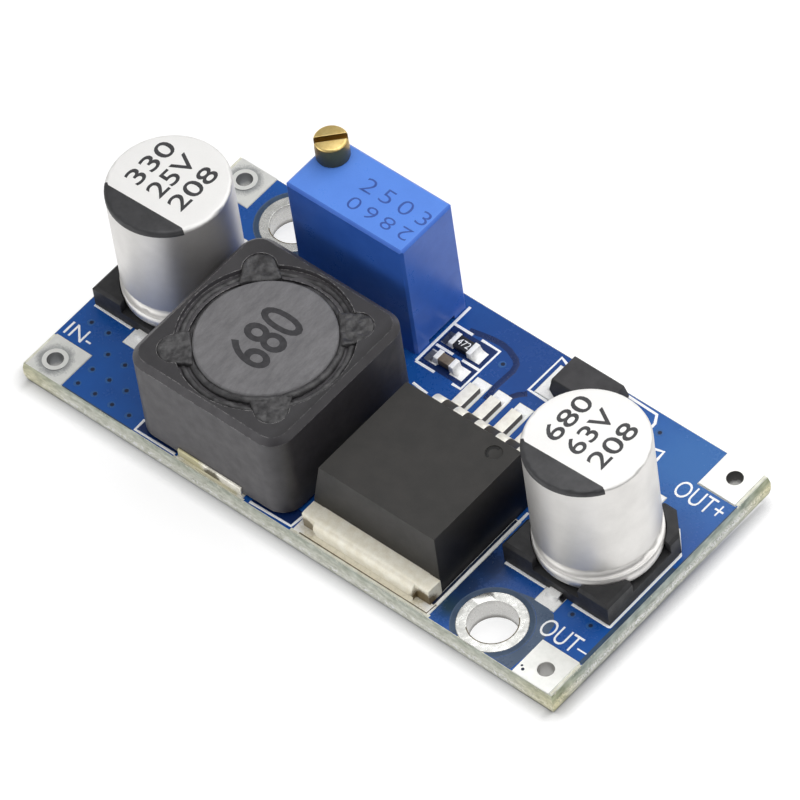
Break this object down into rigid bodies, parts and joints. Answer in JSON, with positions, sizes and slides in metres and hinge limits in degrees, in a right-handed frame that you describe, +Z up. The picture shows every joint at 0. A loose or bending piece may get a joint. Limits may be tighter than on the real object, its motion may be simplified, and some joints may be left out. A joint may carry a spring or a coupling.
{
  "type": "boost converter module",
  "caption": "Step-up voltage converter board with a shielded inductor, tabbed regulator, canned capacitors, a diode and a multi-turn trimmer on a blue circuit board.",
  "frame": {"origin": "under the centre of the board, level with the tips of the trimmer's pins", "axes": "+X along the board from the input end to the output end, +Y towards the trimmer's edge, +Z up from the component side"},
  "size_m": [0.0432, 0.0208, 0.0141],
  "materials": {
    "fr4": "cut glass-fibre laminate",
    "mask": "glossy blue solder mask",
    "pad_tin": "tin levelled in hot air",
    "solder": "bright solder",
    "plating": "plated barrel",
    "epoxy": "moulded black epoxy",
    "tab_metal": "tinned copper",
    "lead_tin": "tinned lead",
    "ferrite": "sintered ferrite, matte",
    "drum": "ground ferrite",
    "copper_wire": "enamelled copper wire",
    "glue": "cured adhesive",
    "can": "drawn aluminium, satin",
    "bung": "moulded rubber",
    "roll": "wound foil and paper",
    "base_plastic": "moulded black plastic",
    "trim_blue": "moulded blue plastic",
    "screw_brass": "turned brass",
    "rotor_plastic": "moulded plastic",
    "wiper_metal": "spring strip",
    "element": "ceramic plate with a film track",
    "fill": "cast sealing compound",
    "diode_epoxy": "moulded black epoxy",
    "resistor": "glazed resistor film",
    "chip_ceramic": "fired ceramic"
  },
  "bodies": {
    "board": {"circuit_board": "fr4", "solder_mask_top": "mask", "solder_mask_bottom": "mask", "terminal_pads": "pad_tin", "mounting_eyelets": "pad_tin", "component_lands": "solder", "plated_holes": "plating", "solder_joints": "solder", "regulator_body": "epoxy", "regulator_tab": "tab_metal", "regulator_leads": "lead_tin", "inductor_shield": "ferrite", "inductor_core": "drum", "inductor_winding": "copper_wire", "inductor_terminals": "lead_tin", "inductor_adhesive": "glue", "input_cap_can": "can", "input_cap_seal": "bung", "input_cap_winding": "roll", "input_cap_base": "base_plastic", "input_cap_leads": "lead_tin", "output_cap_can": "can", "output_cap_seal": "bung", "output_cap_winding": "roll", "output_cap_base": "base_plastic", "output_cap_leads": "lead_tin", "trimmer_housing": "trim_blue", "trimmer_element": "element", "trimmer_base": "fill", "trimmer_pins": "lead_tin", "diode_body": "diode_epoxy", "diode_leads": "lead_tin", "resistor_body": "resistor", "resistor_terminals": "solder", "chip_cap_body": "chip_ceramic", "chip_cap_terminals": "solder"},
    "adjuster_screw": {"trimmer_screw": "screw_brass", "trimmer_seal": "bung"},
    "adjuster_rotor": {"trimmer_rotor": "rotor_plastic", "trimmer_wiper": "wiper_metal"}
  },
  "joints": [
    {"name": "screw_turn", "type": "hinge", "parent": "board", "child": "adjuster_screw", "pos_m": [-0.01048, 0.00817, 0.01235], "axis": [0, 0, 1], "range_deg": [-4500, 4500]},
    {"name": "rotor_turn", "type": "hinge", "parent": "board", "child": "adjuster_rotor", "pos_m": [-0.00688, 0.00711, 0.00777], "axis": [0, 1, 0], "range_deg": [-150.1, 150.1]}
  ],
  "couplings": [
    {"joint": "rotor_turn", "follows": "screw_turn", "ratio": -0.033333}
  ]
}
